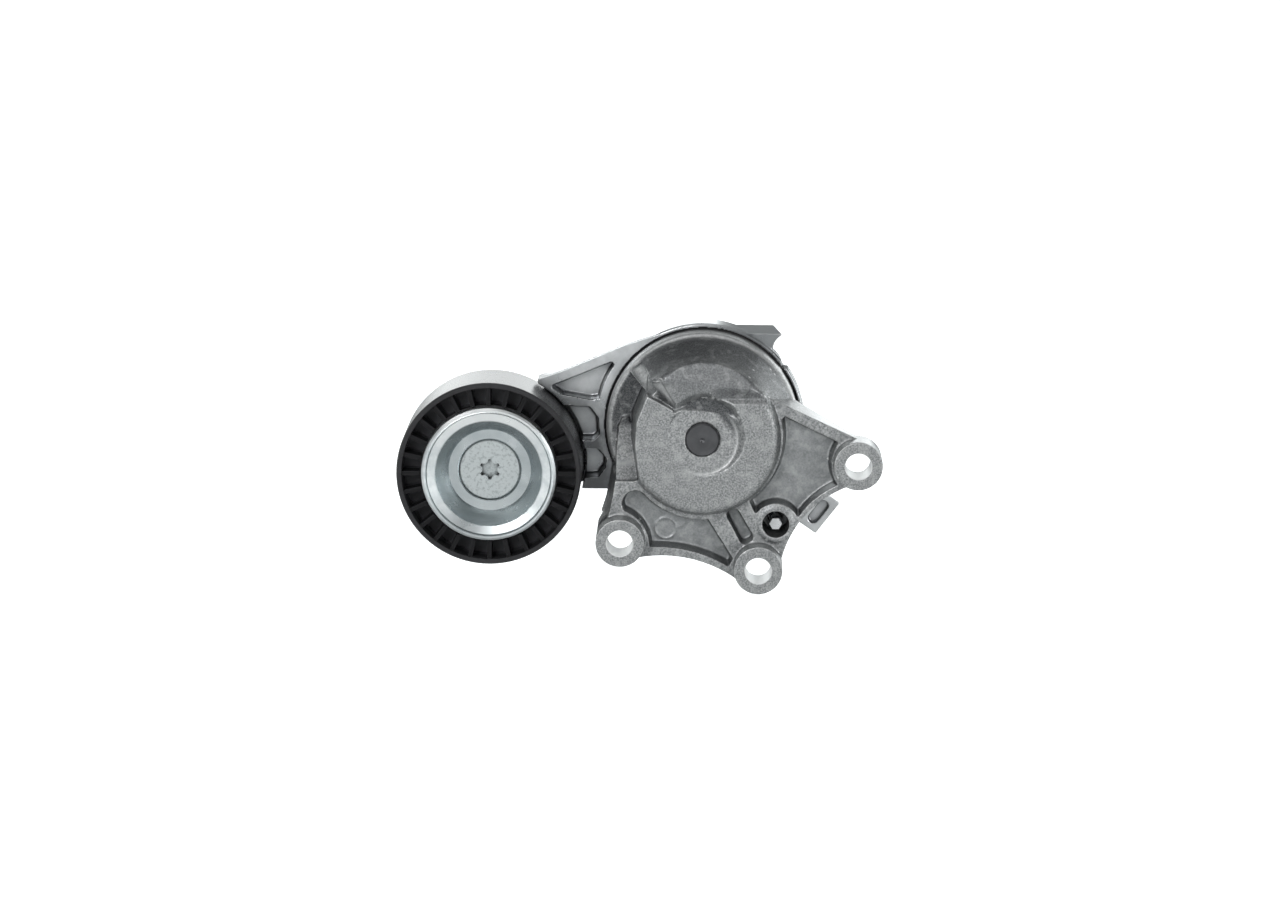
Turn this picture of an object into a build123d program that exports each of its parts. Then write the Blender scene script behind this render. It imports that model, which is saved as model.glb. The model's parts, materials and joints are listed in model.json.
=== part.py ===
"""Belt tensioner idler: sprung arm on a bolted base, with a ball-bearing pulley.

Millimetres. +Z is up, +X to the right, and +Y runs away from the engine, along the pivot.
The origin is on the pivot axis, in the plane of the three mounting faces (Y = 0).
Every station called y_... is a distance from the mounting plane.
"""
import math
import os

from build123d import *

os.makedirs("parts", exist_ok=True)

# ---------------------------------------------------------------- base casting
boss_r = 8.5
bolt_hole_r = 4.5
boss_back = 13.0
screw_head_r = 7.7
bosses = [(-28.7, -36.2), (19.6, -45.8), (54.1, -8.5)]
y_plateau = 3.0
y_web = 7.0
y_floor = 12.5
y_web_back = 16.0
y_drum = 30.0
y_face = 24.0
cone_end_r = 32.6
dome_edge = 2.8
drum_r = 34.0
drum_end = 36.0
drum_wall = 3.0
y_cup_floor = 34.0
hub_r = 9.5
hub_end = 36.5
dome_r = 26.0
wall_draft = 5
pocket_draft = 9
recess_r = 12.3
recess_draft = 44
crescent_drop = 2.6
vale_drop = 1.4
pad_r = 3.9
groove_in_r = 32.2
y_groove = 33.0
groove_w = 1.8
lock_pos = (25.7, -30.7)
lock_ring_r = 6.3
lock_mouth_r = 4.7
lock_guide_r = 2.45
y_lock_step = 20.0

# ---------------------------------------------------------------- pivot
shaft_r = 5.9
y_shaft = 3.2
bush_bore_r = 5.95
bush_r = 8.0
y_arm_hub = 38.0
y_arm_back = 58.0
arm_floor = 54.0
bush_len = 8.0
washer_t = 1.5
washer_r = 14.5
plate_t = 2.0
plate_r = 16.0

# ---------------------------------------------------------------- arm casting
y_arm = 31.5
rim_in_r = 34.7
rim_out_r = 36.1
cavity_r = 30.8
arm_hub_r = 11.5
y_plate = 44.0
y_plate_back = 54.0
relief_r = 33.3
y_lug = 32.5
lug_back = 41.0
swing_down = 8.0
swing_up = 28.0
y_shoe = 41.0
shoe_w = 11.0
shoe_in_r = 28.2

# ---------------------------------------------------------------- pulley
pulley_x = -75.0
pulley_z = -14.6
pulley_r = 32.5
y_pulley = 13.6
pulley_w = 26.0
rim_t = 1.8
pulley_hub_r = 24.2
rib_count = 28
rib_t = 1.5
y_bearing = 25.6
bearing_w = 12.0
bearing_r = 20.0
bearing_bore_r = 8.5
ball_r = 3.37
ball_circle_r = 14.3
ball_count = 8
bolt_r = 5.0
post_r = 12.5
y_cap_ring = 20.6
cap_t = 1.0


def at(y):
    """Sketch plane at station y: local x is X, local y is Z; a negative extrude goes to +Y."""
    return Plane.XZ.offset(-y)


def polar(radius, degrees):
    """Point (X, Z) at a radius and angle about the pivot."""
    a = math.radians(degrees)
    return (radius * math.cos(a), radius * math.sin(a))


def sector(r_in, r_out, start, end):
    """Closed outline of a ring sector about the pivot, in the current sketch."""
    mid = (start + end) / 2
    with BuildLine(mode=Mode.PRIVATE) as edge:
        Line(polar(r_in, start), polar(r_out, start))
        ThreePointArc(polar(r_out, start), polar(r_out, mid), polar(r_out, end))
        Line(polar(r_out, end), polar(r_in, end))
        ThreePointArc(polar(r_in, end), polar(r_in, mid), polar(r_in, start))
    make_face(edge.edges())


def turned(points, x=0.0, z=0.0, mode=Mode.ADD):
    """Turn a closed (radius, y) outline about the line through (x, z) along Y."""
    with BuildSketch(Plane.XY.offset(z), mode=Mode.PRIVATE) as section:
        with Locations((x, 0)):
            Polygon(*points, align=None)
    revolve(section.sketch, axis=Axis((x, 0, z), (0, 1, 0)), mode=mode)


def unit(a, b):
    """Unit direction from point a to point b."""
    length = math.hypot(b[0] - a[0], b[1] - a[1])
    return ((b[0] - a[0]) / length, (b[1] - a[1]) / length)


# ================================================================ base housing
dome_left = [(-8.6, 9.6), (-19.1, 15.4), (-22.9, 6.0), (-23.4, -2.0), (-21.6, -17.0), (-17.0, -19.7)]
notch_right = [(-8.5, 34.0), (-14.6, 21.4), (-8.6, 11.4)]
cone_left = [(-5.0, 36.0), (-32.0, 36.0), (-17.6, 20.0), (-14.8, 20.4), (-11.0, 22.0)]
strut_top = [(-24.4, -0.2), (-26.6, 5.4), (-28.4, 3.6), (-29.6, 1.0), (-30.2, -6.0)]
strut_outline = [(-18.0, -0.2), *strut_top, (-30.2, -19.0), (-18.0, -19.0)]
rib_outline = [(-19.1, 15.4), (-14.0, 12.8), (-12.4, 15.4), (-21.3, 23.6), (-26.0, 20.6)]
rib_dir = (-0.755, 0.656)
rib_profile = [(8.6, 16.0), (5.8, 23.0), (y_face - 1, 32.6), (y_face + 1, 32.6), (y_face + 1, 16.0)]
vale_outline = [(-6.6, 8.8), (-7.6, 12.4), (-14.2, 22.0), (-19.0, 20.6), (-19.6, 14.6)]
strut_profile = [(y_web, -17.0), (y_face + 1, 6.0), (y_face + 1, -20.0), (y_web, -20.0)]
window = [(7.6, -26.4), (12.3, -24.9), (18.6, -36.0), (14.0, -38.6)]
shroud = [(-31.5, -26.6), (-34.9, -29.4), (-36.8, -32.9), (-37.2, -36.2), (-28.7, -36.2)]
ear_wall = [(-30.4, -15.5), (-31.3, -21.0), (-32.3, -26.0), (-33.4, -29.4), (-29.0, -30.0), (-22.0, -15.5)]
ear_top = [(22.0, 14.8), (56.6, -1.4)]
ear_dir = unit(ear_top[0], ear_top[1])
ear_in = (ear_dir[1], -ear_dir[0])

slope_plane = Plane(origin=(5, y_plateau, 19.4), x_dir=(0.99, 0, -0.14), z_dir=(0.05, -0.937, 0.345))
recess_plane = Plane(origin=(0, y_plateau + 1.2, 0), x_dir=(1, 0, 0), z_dir=(0.084, -0.994, 0.074))

# strut that climbs from the left ear to the face of the drum
strut = extrude(at(y_web) * Polygon(*strut_outline, align=None), amount=-(y_face - y_web + 1))
strut &= extrude(Plane.YZ.offset(-24) * Polygon(*strut_profile, align=None), amount=8, both=True)
# radial rib from the notch to the rim of the drum, with its crest parallel to the cone
rib = extrude(at(y_plateau) * Polygon(*rib_outline, align=None), amount=-(y_face - y_plateau + 1))
rib_plane = Plane(origin=(0, 0, 0), x_dir=(0, 1, 0), z_dir=(rib_dir[1], 0, -rib_dir[0]))
rib &= extrude(rib_plane * Polygon(*rib_profile, align=None), amount=12, both=True)
# sloping floor of the notch, lowest along its left side
vale = extrude(at(y_plateau) * Polygon(*vale_outline, align=None), amount=-(y_face - y_plateau + 1))
vale_floor = Plane(origin=(-8.6, y_plateau + 0.3, 11.4), z_dir=(-0.7, -1.0, -0.42))
vale -= vale_floor * Box(60, 60, 30, align=(Align.CENTER, Align.CENTER, Align.MIN))

with BuildPart() as base_housing:
    # dome: drafted walls on the left and in the notch, a cone elsewhere
    with BuildSketch(at(y_plateau)):
        with BuildLine():
            Polyline(*dome_left, (-17.0, -45.0), (45.0, -45.0), (45.0, 45.0), *notch_right, close=True)
        make_face()
    extrude(amount=-(y_face - y_plateau + 0.5), taper=-wall_draft)
    with BuildSketch(at(y_plateau)):
        Polygon(*cone_left, align=None)
    extrude(amount=-(y_face - y_plateau + 0.5))
    with BuildSketch(Plane.XY) as section:
        with BuildLine():
            Polyline(
                (shaft_r, y_plateau),
                (dome_r, y_plateau),
                (cone_end_r, y_face),
                (cone_end_r, y_face + 1),
                (shaft_r, y_face + 1),
                close=True,
            )
        make_face()
        fillet(section.vertices().sort_by_distance((dome_r, y_plateau, 0))[0], dome_edge)
    revolve(axis=Axis.Y, mode=Mode.INTERSECT)
    # drum that closes the arm's cup, with the hub that holds the shaft
    turned([
        (shaft_r, y_face),
        (cone_end_r - 0.1, y_face),
        (cone_end_r + 0.9, y_face + 0.7),
        (drum_r - 0.2, y_face + 1.6),
        (drum_r, y_face + 2.6),
        (drum_r, drum_end),
        (drum_r - drum_wall, drum_end),
        (drum_r - drum_wall, y_face + 4.5),
        (22.0, y_face + 4.5),
        (22.0, y_cup_floor),
        (hub_r, y_cup_floor),
        (hub_r, hub_end),
        (shaft_r, hub_end),
    ])
    # ears: one plate that carries the three bosses
    with BuildSketch(at(y_web)):
        with BuildLine():
            Line(ear_top[0], ear_top[1])
            Line(ear_top[1], (52.0, -16.8))
            ThreePointArc((52.0, -16.8), (36.4, -27.0), (28.0, -42.6))
            Line((28.0, -42.6), (13.4, -51.6))
            ThreePointArc((13.4, -51.6), (-4.5, -43.2), (-23.5, -43.2))
            Line((-23.5, -43.2), (-36.4, -33.4))
            ThreePointArc((-36.4, -33.4), (-31.6, -26.0), (-30.0, -18.0))
            Line((-30.0, -18.0), (-10.0, -10.0))
            Line((-10.0, -10.0), ear_top[0])
        make_face()
    extrude(amount=-(y_web_back - y_web))
    add(strut)
    add(rib)
    add(vale)
    # deep drafted wall along the left ear
    with BuildSketch(at(y_web)):
        with BuildLine():
            Polyline(*ear_wall, close=True)
        make_face()
    extrude(amount=-(y_drum - y_web), taper=-wall_draft)
    # deep wall under the top edge of the right ear, tapering back to its boss
    with BuildSketch(at(y_web)):
        with BuildLine():
            Polyline(
                ear_top[0],
                ear_top[1],
                (ear_top[1][0] + 4 * ear_in[0], ear_top[1][1] + 4 * ear_in[1]),
                (ear_top[0][0] + 4 * ear_in[0], ear_top[0][1] + 4 * ear_in[1]),
                close=True,
            )
        make_face()
    extrude(amount=-(y_drum - y_web))
    with BuildSketch(Plane.XY.offset(-12)):
        with BuildLine():
            Polyline((27.0, y_drum + 1), (70.0, y_drum + 1), (70.0, boss_back), (52.0, boss_back), close=True)
        make_face()
    extrude(amount=40, mode=Mode.SUBTRACT)
    # lock-pin boss runs back to the drum plane
    with BuildSketch(at(y_web - 0.5)):
        with Locations(lock_pos):
            Circle(lock_ring_r)
    extrude(amount=-(y_drum - y_web + 0.5))
    # rib that ties the lock-pin boss to the drum
    with BuildSketch(at(y_web_back)):
        with Locations((18.0, -21.5)):
            Rectangle(4.0, 14.0, rotation=40)
    extrude(amount=-(y_drum - y_web_back + 1))
    # shroud that carries the left wall round its boss
    with BuildSketch(at(boss_back - 2)):
        with BuildLine():
            Polyline(*shroud, close=True)
        make_face()
    extrude(amount=-(y_face - boss_back + 2))
    # mounting bosses
    with BuildSketch(at(0)):
        with Locations(*bosses):
            Circle(boss_r)
    extrude(amount=-boss_back)
    # spot faces behind the bosses for the screw heads
    with BuildSketch(at(boss_back)):
        with Locations(*bosses):
            Circle(screw_head_r)
    extrude(amount=-(y_drum - boss_back), mode=Mode.SUBTRACT)
    # slope above the shaft recess, and the shallow valley under it
    with BuildSketch(slope_plane):
        with Locations((0, 10)):
            Rectangle(60, 20)
    extrude(amount=8, mode=Mode.SUBTRACT)
    with BuildSketch(Plane.YZ.offset(3.0)):
        with BuildLine():
            Polyline(
                (y_plateau, 18.4),
                (y_plateau + vale_drop, 14.4),
                (y_plateau, 12.6),
                (y_plateau - 1, 12.6),
                (y_plateau - 1, 18.4),
                close=True,
            )
        make_face()
    extrude(amount=24, mode=Mode.SUBTRACT)
    # pocket in the left ear
    with BuildSketch(at(y_web - 0.5)):
        with BuildLine():
            ThreePointArc((-27.4, -26.2), (-25.4, -19.2), (-20.6, -19.6))
            ThreePointArc((-20.6, -19.6), (-10.6, -26.9), (2.2, -28.9))
            Line((2.2, -28.9), (10.9, -43.0))
            Line((10.9, -43.0), (9.4, -46.2))
            ThreePointArc((9.4, -46.2), (-4.5, -40.4), (-18.6, -39.3))
            ThreePointArc((-18.6, -39.3), (-21.4, -30.6), (-27.4, -26.2))
        make_face()
    extrude(amount=-(y_floor - y_web + 0.5), taper=pocket_draft, mode=Mode.SUBTRACT)
    # slanting window pocket
    with BuildSketch(at(y_web - 0.5)):
        with BuildLine():
            Polyline(*window, close=True)
        make_face()
        fillet(vertices(), 1.8)
    extrude(amount=-(y_floor - y_web + 0.5), taper=6, mode=Mode.SUBTRACT)
    # pocket in the right ear
    with BuildSketch(at(y_web - 0.5)):
        with BuildLine():
            Line((28.6, 7.9), (47.6, -1.4))
            ThreePointArc((47.6, -1.4), (45.0, -9.0), (47.4, -16.6))
            ThreePointArc((47.4, -16.6), (39.4, -21.6), (33.4, -28.6))
            ThreePointArc((33.4, -28.6), (25.6, -23.4), (18.6, -27.4))
            Line((18.6, -27.4), (16.2, -22.4))
            ThreePointArc((16.2, -22.4), (26.2, -9.6), (27.3, 6.6))
            Line((27.3, 6.6), (28.6, 7.9))
        make_face()
    extrude(amount=-(y_floor - y_web + 0.5), taper=pocket_draft, mode=Mode.SUBTRACT)
    # plain round pad in the left pocket
    with BuildSketch(at(y_floor - 0.3)):
        with Locations((-12.8, -33.4)):
            Circle(pad_r)
            Circle(pad_r - 0.4, mode=Mode.SUBTRACT)
    extrude(amount=-0.4)
    # recess round the shaft, running out at its left and deepest at its upper right
    with BuildSketch(recess_plane):
        Circle(recess_r)
    extrude(amount=4, taper=-recess_draft, mode=Mode.SUBTRACT)
    # flat crescent in the recess above the shaft
    with BuildSketch(at(y_plateau + crescent_drop)):
        with BuildLine():
            ThreePointArc((-6.8, 11.6), (1.4, 14.2), (10.6, 8.6))
            Line((10.6, 8.6), (-6.8, 11.6))
        make_face()
    extrude(amount=5, taper=-recess_draft, mode=Mode.SUBTRACT)
    # spring cavity under the dome
    with BuildSketch(at(y_plateau + 6)):
        with BuildLine():
            ThreePointArc(polar(20.5, 31), polar(20.5, -90), polar(20.5, 149))
            Line(polar(20.5, 149), polar(20.5, 31))
        make_face()
        Circle(hub_r, mode=Mode.SUBTRACT)
    extrude(amount=-(y_cup_floor - y_plateau - 6), mode=Mode.SUBTRACT)
    # stop block for the arm
    with BuildSketch(at(y_cup_floor - 1)):
        sector(hub_r - 1.5, 16.0, 80, 100)
    extrude(amount=-3.2)
    with BuildSketch(at(y_cup_floor - 1.5)):
        sector(arm_hub_r + 0.5, 16.0, 80, 100)
    extrude(amount=-7.5)
    # shaft bore, screw holes and lock-pin hole
    with BuildSketch(at(-1)):
        Circle(shaft_r)
    extrude(amount=-(hub_end + 2), mode=Mode.SUBTRACT)
    with BuildSketch(at(-1)):
        with Locations(*bosses):
            Circle(bolt_hole_r)
    extrude(amount=-(y_web_back + 2), mode=Mode.SUBTRACT)
    with BuildSketch(at(0)):
        with Locations(lock_pos):
            Circle(lock_mouth_r)
    extrude(amount=-y_lock_step, mode=Mode.SUBTRACT)
    with BuildSketch(at(0)):
        with Locations(lock_pos):
            Circle(lock_guide_r)
    extrude(amount=-(y_drum + 2), mode=Mode.SUBTRACT)
    # groove for the dust seal
    turned([
        (groove_in_r, y_groove),
        (drum_r + 1, y_groove),
        (drum_r + 1, y_groove + groove_w),
        (groove_in_r, y_groove + groove_w),
    ], mode=Mode.SUBTRACT)
base_housing.part.label = "base_housing"
export_step(base_housing.part, "parts/base_housing.step")

# ================================================================ pivot shaft
y_plate_seat = y_arm_back + washer_t
y_shaft_end = y_plate_seat + plate_t
with BuildPart() as pivot_shaft:
    turned([
        (0.9, y_shaft),
        (shaft_r - 0.5, y_shaft),
        (shaft_r, y_shaft + 0.5),
        (shaft_r, y_shaft_end),
        (shaft_r + 2.2, y_shaft_end),
        (shaft_r + 1.4, y_shaft_end + 1.4),
        (0, y_shaft_end + 1.4),
        (0, y_shaft + 0.5),
    ])
pivot_shaft.part.label = "pivot_shaft"
export_step(pivot_shaft.part, "parts/pivot_shaft.step")

with BuildPart() as retaining_plate:
    turned([
        (shaft_r, y_plate_seat),
        (plate_r, y_plate_seat),
        (plate_r, y_plate_seat + plate_t - 0.4),
        (plate_r - 0.4, y_plate_seat + plate_t),
        (shaft_r, y_plate_seat + plate_t),
    ])
retaining_plate.part.label = "retaining_plate"
export_step(retaining_plate.part, "parts/retaining_plate.step")

play = 0.03
with BuildPart() as friction_washer:
    turned([
        (shaft_r + 0.1, y_arm_back + play),
        (washer_r, y_arm_back + play),
        (washer_r, y_plate_seat),
        (shaft_r + 0.1, y_plate_seat),
    ])
friction_washer.part.label = "friction_washer"
export_step(friction_washer.part, "parts/friction_washer.step")

with BuildPart() as thrust_washer:
    turned([
        (shaft_r + 0.1, hub_end),
        (hub_r, hub_end),
        (hub_r, y_arm_hub - play),
        (shaft_r + 0.1, y_arm_hub - play),
    ])
thrust_washer.part.label = "thrust_washer"
export_step(thrust_washer.part, "parts/thrust_washer.step")

with BuildPart() as bush_front:
    turned([
        (bush_bore_r, y_arm_hub),
        (bush_r, y_arm_hub),
        (bush_r, y_arm_hub + bush_len),
        (bush_bore_r, y_arm_hub + bush_len),
    ])
bush_front.part.label = "bush_front"
export_step(bush_front.part, "parts/bush_front.step")

with BuildPart() as bush_rear:
    turned([
        (bush_bore_r, y_arm_back - bush_len),
        (bush_r, y_arm_back - bush_len),
        (bush_r, y_arm_back),
        (bush_bore_r, y_arm_back),
    ])
bush_rear.part.label = "bush_rear"
export_step(bush_rear.part, "parts/bush_rear.step")

seal_gap = 0.05
with BuildPart() as dust_seal:
    turned([
        (groove_in_r + seal_gap, y_groove + seal_gap),
        (drum_r + 0.5, y_groove + seal_gap),
        (drum_r + 0.62, y_groove + groove_w / 2),
        (drum_r + 0.5, y_groove + groove_w - seal_gap),
        (groove_in_r + seal_gap, y_groove + groove_w - seal_gap),
    ])
dust_seal.part.label = "dust_seal"
export_step(dust_seal.part, "parts/dust_seal.step")

# ================================================================ torsion spring
wire_r = 2.1
coil_r = 25.6
coil_start = y_cup_floor + wire_r + 0.15
coil_end = arm_floor - wire_r - 0.15
coil_turns = 3.2
with BuildPart() as torsion_spring:
    with BuildLine():
        helix = Helix(
            pitch=(coil_end - coil_start) / coil_turns,
            height=coil_end - coil_start,
            radius=coil_r,
            center=(0, coil_start, 0),
            direction=(0, 1, 0),
        )
    with BuildSketch(Plane(origin=helix @ 0, z_dir=helix % 0)):
        Circle(wire_r)
    sweep(path=helix, is_frenet=True)
torsion_spring.part.label = "torsion_spring"
export_step(torsion_spring.part, "parts/torsion_spring.step")

guide_r = 18.5
guide_t = 1.2
y_guide = 43.0
with BuildPart() as spring_guide:
    turned([
        (arm_hub_r + 0.05, y_guide),
        (arm_hub_r + 1.7, y_guide),
        (guide_r, y_guide + 5.0),
        (guide_r, arm_floor - guide_t),
        (guide_r + 4.0, arm_floor - guide_t),
        (guide_r + 4.0, arm_floor),
        (arm_hub_r + 0.05, arm_floor),
    ])
spring_guide.part.label = "spring_guide"
export_step(spring_guide.part, "parts/spring_guide.step")

with BuildPart() as damping_shoe:
    with BuildSketch(at(y_shoe)):
        sector(shoe_in_r, cavity_r - 0.02, 120, 330)
    extrude(amount=-shoe_w)
damping_shoe.part.label = "damping_shoe"
export_step(damping_shoe.part, "parts/damping_shoe.step")

# ================================================================ tensioner arm
pulley_at = (pulley_x, pulley_z)
pin_r, pin_angle = math.hypot(*lock_pos), math.degrees(math.atan2(lock_pos[1], lock_pos[0]))
slot_half = 2.5
slot_from = pin_angle - swing_down - 4.5
slot_to = pin_angle + swing_up + 4.5
tab = [(48.9, -28.7), (40.3, -39.8), (28.0, -31.2), (36.5, -20.0)]
tab_dir = unit(tab[1], tab[0])
tab_pocket = 2.0
tang_cut = [(27.9, y_lug - 1), (25.0, y_lug + 19), (36.0, y_lug + 19), (36.0, y_lug - 1)]
tab_angle = math.degrees(math.atan2(tab_dir[1], tab_dir[0]))
pocket_depth = 5.0
web_t = 7.0
web_top = [(-58.4, 16.2), (-50.5, 18.8), (-40.0, 23.2), (-29.0, 27.9), (-20.0, 31.0), (-8.0, 34.4)]
web_low = [(0.0, 20.0), (0.0, -23.7), (-42.5, -23.7), (-58.4, -23.7)]
lower_top = [(x, z - 4.5) for x, z in web_top]
upper_notch = [(-50.0, 6.5), (-40.0, 6.0), (-37.0, 2.0), (-36.6, -4.0), (-38.6, -6.0), (-48.0, -6.0)]
lower_notch = [(-46.0, -9.0), (-37.0, -9.2), (-34.2, -12.5), (-34.4, -15.8), (-37.0, -19.4), (-46.0, -20.0)]
notch_depth = 6.5
notch_draft = 6
lug_r = 15.5
lug_t = 3.0

with BuildPart() as tensioner_arm:
    # web that reaches from the cup to the pulley
    with BuildSketch(at(y_arm)):
        with BuildLine():
            Polyline(*web_top, *web_low, close=True)
        make_face()
        with Locations(pulley_at):
            Circle(relief_r, mode=Mode.SUBTRACT)
    extrude(amount=-web_t)
    # thicker part of the arm, set down from the top edge of the web
    with BuildSketch(at(y_arm)):
        with BuildLine():
            Polyline(*lower_top, *web_low, close=True)
        make_face()
        with Locations(pulley_at):
            Circle(relief_r, mode=Mode.SUBTRACT)
    extrude(amount=-(y_plate_back - y_arm))
    # plate behind the pulley, drawn in to the post
    with BuildSketch(at(y_plate)):
        with BuildLine():
            Polyline((-58.4, 11.7), (-50.5, 14.3), (-29.0, 23.0), (0.0, 26.0), (0.0, -23.7))
            Polyline((0.0, -23.7), (-42.5, -23.7), (-68.0, -30.0))
            ThreePointArc((-68.0, -30.0), (-91.5, -16.0), (-80.0, 1.0))
            Line((-80.0, 1.0), (-58.4, 11.7))
        make_face()
    extrude(amount=-(y_plate_back - y_plate))
    with BuildSketch(at(y_plate - 1)):
        with Locations(pulley_at):
            Circle(post_r)
    extrude(amount=-4)
    # cup with its stepped lip
    turned([
        (0, y_arm),
        (rim_out_r - 0.5, y_arm),
        (rim_out_r, y_arm + 0.5),
        (rim_out_r, 38.4),
        (34.4, 40.0),
        (33.6, 56.0),
        (32.0, y_arm_back),
        (0, y_arm_back),
    ])
    # sector behind the base that the locking pin passes through
    with BuildSketch(at(y_lug)):
        sector(33.0, 44.6, slot_from - 3.5, slot_to + 5)
    extrude(amount=-6.0)
    # lug tab at the lower right
    with BuildSketch(at(y_lug)):
        Polygon(*tab, align=None)
    extrude(amount=-(lug_back - y_lug))
    # tang at the upper right
    with BuildSketch(at(y_lug - 0.5)):
        with BuildLine():
            Polyline((8.0, 32.6), (27.8, 32.5), (27.8, 31.9))
            ThreePointArc((27.8, 31.9), (25.4, 29.6), (24.6, 26.0))
            Polyline((24.6, 26.0), (8.0, 26.0), (8.0, 32.6))
        make_face()
    extrude(amount=-18)
    with BuildSketch(Plane.XY.offset(20)):
        with BuildLine():
            Polyline(*tang_cut, close=True)
        make_face()
    extrude(amount=20, mode=Mode.SUBTRACT)
    # inside of the cup, leaving the hub
    turned([
        (0, 20.0),
        (rim_in_r, 20.0),
        (rim_in_r, drum_end + 0.6),
        (cavity_r, drum_end + 0.6),
        (cavity_r, arm_floor),
        (arm_hub_r, arm_floor),
        (arm_hub_r, y_arm_hub),
        (0, y_arm_hub),
    ], mode=Mode.SUBTRACT)
    turned([
        (0, 20.0),
        (bush_r, 20.0),
        (bush_r, y_arm_back + 1),
        (0, y_arm_back + 1),
    ], mode=Mode.SUBTRACT)
    # stop lugs either side of the block on the base
    with BuildSketch(at(y_arm_hub)):
        sector(arm_hub_r - 0.5, lug_r, 100.5 + swing_up, 121 + swing_up)
    extrude(amount=-lug_t)
    with BuildSketch(at(y_arm_hub)):
        sector(arm_hub_r - 0.5, lug_r, 59 - swing_down, 79.5 - swing_down)
    extrude(amount=-lug_t)
    # triangular pocket in the web
    with BuildSketch(at(y_arm)):
        with BuildLine():
            Polyline((-49.8, 10.4), (-54.2, 13.4), (-32.2, 22.4), (-31.2, 21.2))
            ThreePointArc((-31.2, 21.2), (-34.6, 15.4), (-36.6, 8.9))
            Polyline((-36.6, 8.9), (-40.0, 8.6), (-49.8, 10.4))
        make_face()
        fillet(vertices(), 0.7)
    extrude(amount=-pocket_depth, taper=notch_draft, mode=Mode.SUBTRACT)
    # two notches that open towards the pulley
    with BuildSketch(at(y_arm)):
        with BuildLine():
            Polyline(*upper_notch, close=True)
        make_face()
        with BuildLine():
            Polyline(*lower_notch, close=True)
        make_face()
        fillet(vertices(), 0.9)
    extrude(amount=-notch_depth, taper=notch_draft, mode=Mode.SUBTRACT)
    # oblong pocket in the lug tab
    with BuildSketch(at(y_lug)):
        with Locations((41.2, -31.9)):
            SlotOverall(9.4, 3.8, rotation=tab_angle)
    extrude(amount=-tab_pocket, mode=Mode.SUBTRACT)
    # clearance slot for the locking pin
    with BuildSketch(at(y_lug - 1)):
        sector(pin_r - slot_half, pin_r + slot_half, slot_from, slot_to)
    extrude(amount=-12, mode=Mode.SUBTRACT)
    # threaded hole for the pulley bolt
    with BuildSketch(at(y_plate - 2)):
        with Locations(pulley_at):
            Circle(bolt_r)
    extrude(amount=-14, mode=Mode.SUBTRACT)
tensioner_arm.part.label = "tensioner_arm"
export_step(tensioner_arm.part, "parts/tensioner_arm.step")

# ================================================================ pulley
y_far = y_pulley + pulley_w
y_disc = y_pulley + 9.6
disc_t = 6.0
y_hub_front = y_pulley + 2.6
with BuildPart() as pulley:
    turned([
        (bearing_r, y_hub_front),
        (pulley_hub_r, y_hub_front),
        (pulley_hub_r, y_disc),
        (pulley_r - rim_t - 0.3, y_disc),
        (pulley_r - rim_t, y_pulley),
        (pulley_r - 0.5, y_pulley),
        (pulley_r, y_pulley + 0.5),
        (pulley_r, y_far - 0.5),
        (pulley_r - 0.5, y_far),
        (pulley_r - rim_t, y_far),
        (pulley_r - rim_t - 0.3, y_disc + disc_t),
        (pulley_hub_r, y_disc + disc_t),
        (pulley_hub_r, y_far - 2),
        (bearing_r, y_far - 2),
    ], pulley_x, pulley_z)
    # radial ribs on both faces of the disc
    with BuildSketch(at(y_pulley + 1.0)):
        with Locations(pulley_at):
            with PolarLocations((pulley_hub_r + pulley_r - rim_t) / 2, rib_count):
                Rectangle(pulley_r - rim_t - pulley_hub_r + 0.8, rib_t)
    extrude(amount=-(pulley_w - 2.0))
    # seat for the edge of the dust cap
    turned([
        (bearing_r - 1, y_pulley),
        (pulley_hub_r + 0.2, y_pulley),
        (pulley_hub_r + 0.2, y_hub_front),
        (bearing_r - 1, y_hub_front),
    ], pulley_x, pulley_z, Mode.SUBTRACT)
pulley.part.label = "pulley"
export_step(pulley.part, "parts/pulley.step")

# ================================================================ ball bearing
y_mid = y_bearing + bearing_w / 2
y_bearing_end = y_bearing + bearing_w
groove_r = ball_r + 0.03
outer_land_r = 16.7
inner_land_r = 12.0
with BuildPart() as bearing_outer_ring:
    turned([
        (outer_land_r, y_bearing),
        (bearing_r - 0.5, y_bearing),
        (bearing_r, y_bearing + 0.5),
        (bearing_r, y_bearing_end - 0.5),
        (bearing_r - 0.5, y_bearing_end),
        (outer_land_r, y_bearing_end),
    ], pulley_x, pulley_z)
    with BuildSketch(Plane.XY.offset(pulley_z)):
        with Locations((pulley_x + ball_circle_r, y_mid)):
            Circle(groove_r)
    revolve(axis=Axis((pulley_x, 0, pulley_z), (0, 1, 0)), mode=Mode.SUBTRACT)
bearing_outer_ring.part.label = "bearing_outer_ring"
export_step(bearing_outer_ring.part, "parts/bearing_outer_ring.step")

with BuildPart() as bearing_inner_ring:
    turned([
        (bearing_bore_r, y_bearing + 0.4),
        (bearing_bore_r + 0.4, y_bearing),
        (inner_land_r, y_bearing),
        (inner_land_r, y_bearing_end),
        (bearing_bore_r + 0.4, y_bearing_end),
        (bearing_bore_r, y_bearing_end - 0.4),
    ], pulley_x, pulley_z)
    with BuildSketch(Plane.XY.offset(pulley_z)):
        with Locations((pulley_x + ball_circle_r, y_mid)):
            Circle(groove_r)
    revolve(axis=Axis((pulley_x, 0, pulley_z), (0, 1, 0)), mode=Mode.SUBTRACT)
bearing_inner_ring.part.label = "bearing_inner_ring"
export_step(bearing_inner_ring.part, "parts/bearing_inner_ring.step")

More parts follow.
